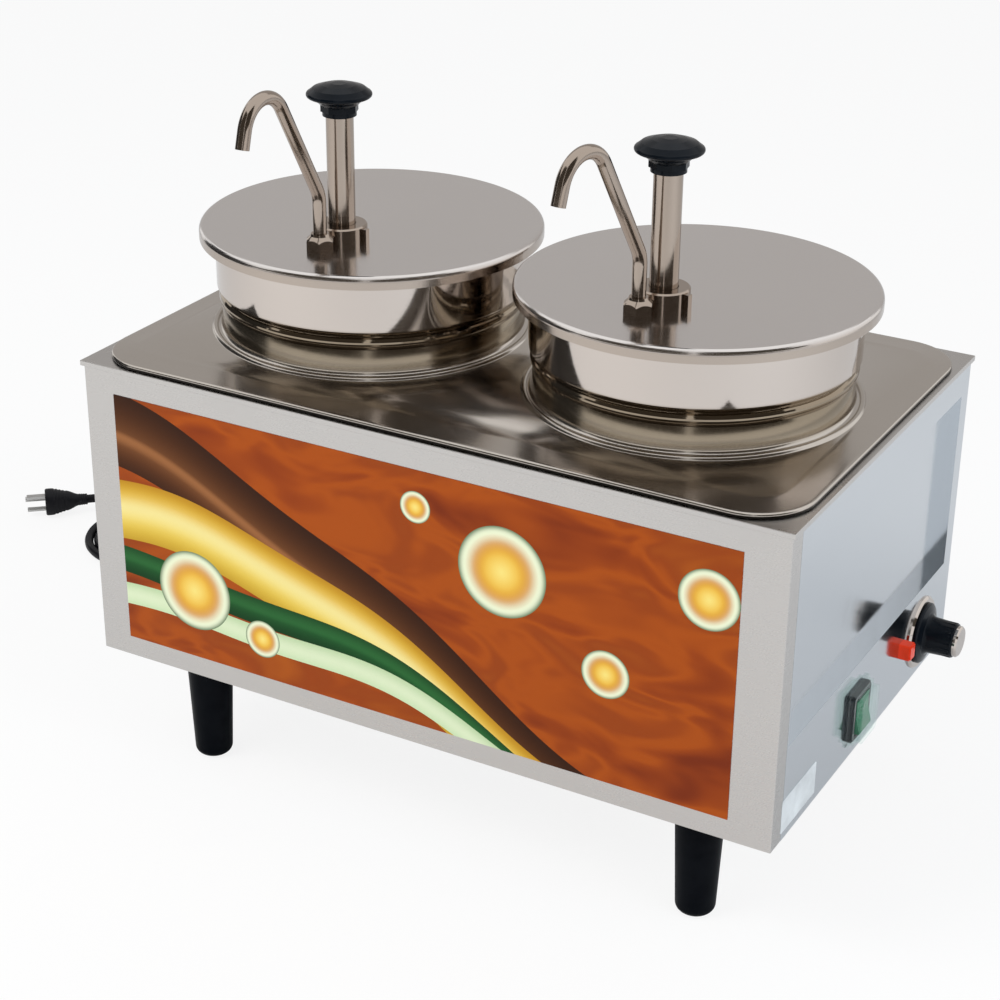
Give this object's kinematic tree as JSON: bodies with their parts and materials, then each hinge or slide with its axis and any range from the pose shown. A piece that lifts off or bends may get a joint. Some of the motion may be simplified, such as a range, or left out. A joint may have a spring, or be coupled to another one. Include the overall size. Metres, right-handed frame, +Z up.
{
  "type": "hot fudge topping warmer",
  "caption": "Countertop water-bath topping warmer: boxy stainless cabinet on legs, round insets in an adapter plate, lids with hand pumps and arched spouts, side dial and rocker.",
  "frame": {"origin": "on the counter, under the middle of the box that holds the warmer without its cord", "axes": "+X to the right along the long side, +Y to the back, +Z up; the front with the graphic and the spouts faces -Y"},
  "size_m": [0.8934, 0.4214, 0.5233],
  "materials": {
    "stainless_brushed": "fine brushed stainless sheet",
    "stainless_polished": "polished stainless",
    "stainless_satin": "satin stainless lid",
    "graphic_sheet": "printed sheet in warm browns",
    "black_plastic": "moulded black plastic",
    "black_rubber": "black cord and grommet",
    "green_lens": "green rocker",
    "clear_boot": "clear flexible cover",
    "orange_lens": "orange lamp lens",
    "zinc": "zinc-plated steel",
    "heater": "heater sheath",
    "copper": "copper bulb",
    "fibre": "glass-fibre blanket",
    "ivory_plastic": "terminal block",
    "wire": "insulated wire",
    "white_plastic": "piston"
  },
  "bodies": {
    "cabinet": {"body_shell": "stainless_brushed", "front_panel": "stainless_brushed", "front_graphic": "graphic_sheet", "top_frame": "stainless_brushed", "well_pan": "stainless_brushed", "insulation": "fibre", "heating_element": "heater", "element_clamps": "zinc", "bottom_cover": "zinc", "leg_front_left": "black_plastic", "leg_front_right": "black_plastic", "leg_back_left": "black_plastic", "leg_back_right": "black_plastic", "leg_studs": "zinc", "leg_nuts": "zinc", "cover_screws": "zinc", "thermostat_body": "black_plastic", "sensing_bulb": "copper", "dial_bezel": "stainless_polished", "switch_housing": "black_plastic", "switch_boot": "clear_boot", "indicator_lamp": "orange_lens", "terminal_block": "ivory_plastic", "wiring": "wire", "strain_relief": "black_rubber", "cord_tube": "black_rubber", "cord_coil": "black_rubber", "cord_tie": "black_plastic", "plug_body": "black_rubber", "plug_prongs": "zinc"},
    "plate": {"adapter_plate": "stainless_brushed"},
    "dial": {"control_knob": "black_plastic", "knob_cap": "stainless_polished", "thermostat_shaft": "zinc"},
    "rocker": {"switch_rocker": "green_lens"},
    "left_inset": {"inset_left": "stainless_polished"},
    "left_lid": {"lid_left": "stainless_satin", "pump_cylinder_left": "stainless_polished", "lock_collar_left": "stainless_polished", "spout_nut_left": "stainless_polished", "discharge_tube_left": "stainless_polished", "pump_valve_left": "stainless_polished", "pump_spring_left": "zinc"},
    "left_plunger": {"plunger_tube_left": "stainless_polished", "pump_knob_left": "black_plastic", "piston_left": "white_plastic", "piston_seal_left": "black_rubber"},
    "right_inset": {"inset_right": "stainless_polished"},
    "right_lid": {"lid_right": "stainless_satin", "pump_cylinder_right": "stainless_polished", "lock_collar_right": "stainless_polished", "spout_nut_right": "stainless_polished", "discharge_tube_right": "stainless_polished", "pump_valve_right": "stainless_polished", "pump_spring_right": "zinc"},
    "right_plunger": {"plunger_tube_right": "stainless_polished", "pump_knob_right": "black_plastic", "piston_right": "white_plastic", "piston_seal_right": "black_rubber"}
  },
  "joints": [
    {"name": "plate_lift", "type": "slide", "parent": "cabinet", "child": "plate", "axis": [0, 0, 1], "range_m": [0, 0.14]},
    {"name": "left_inset_lift", "type": "slide", "parent": "plate", "child": "left_inset", "axis": [0, 0, 1], "range_m": [0, 0.16]},
    {"name": "left_lid_lift", "type": "slide", "parent": "left_inset", "child": "left_lid", "axis": [0, 0, 1], "range_m": [0, 0.21]},
    {"name": "left_pump_stroke", "type": "slide", "parent": "left_lid", "child": "left_plunger", "axis": [0, 0, 1], "range_m": [-0.06, 0], "stiffness_N_per_m": 220, "springref_m": 0.03, "deforming": ["pump_spring_left"]},
    {"name": "right_inset_lift", "type": "slide", "parent": "plate", "child": "right_inset", "axis": [0, 0, 1], "range_m": [0, 0.16]},
    {"name": "right_lid_lift", "type": "slide", "parent": "right_inset", "child": "right_lid", "axis": [0, 0, 1], "range_m": [0, 0.21]},
    {"name": "right_pump_stroke", "type": "slide", "parent": "right_lid", "child": "right_plunger", "axis": [0, 0, 1], "range_m": [-0.06, 0], "stiffness_N_per_m": 220, "springref_m": 0.03, "deforming": ["pump_spring_right"]},
    {"name": "dial_turn", "type": "hinge", "parent": "cabinet", "child": "dial", "pos_m": [0.2522, 0.106, 0.123], "axis": [-1, 0, 0], "range_deg": [0, 300]},
    {"name": "rocker_tilt", "type": "hinge", "parent": "cabinet", "child": "rocker", "pos_m": [0.2542, -0.0195, 0.122], "axis": [0, 1, 0], "range_deg": [0, 14]}
  ]
}
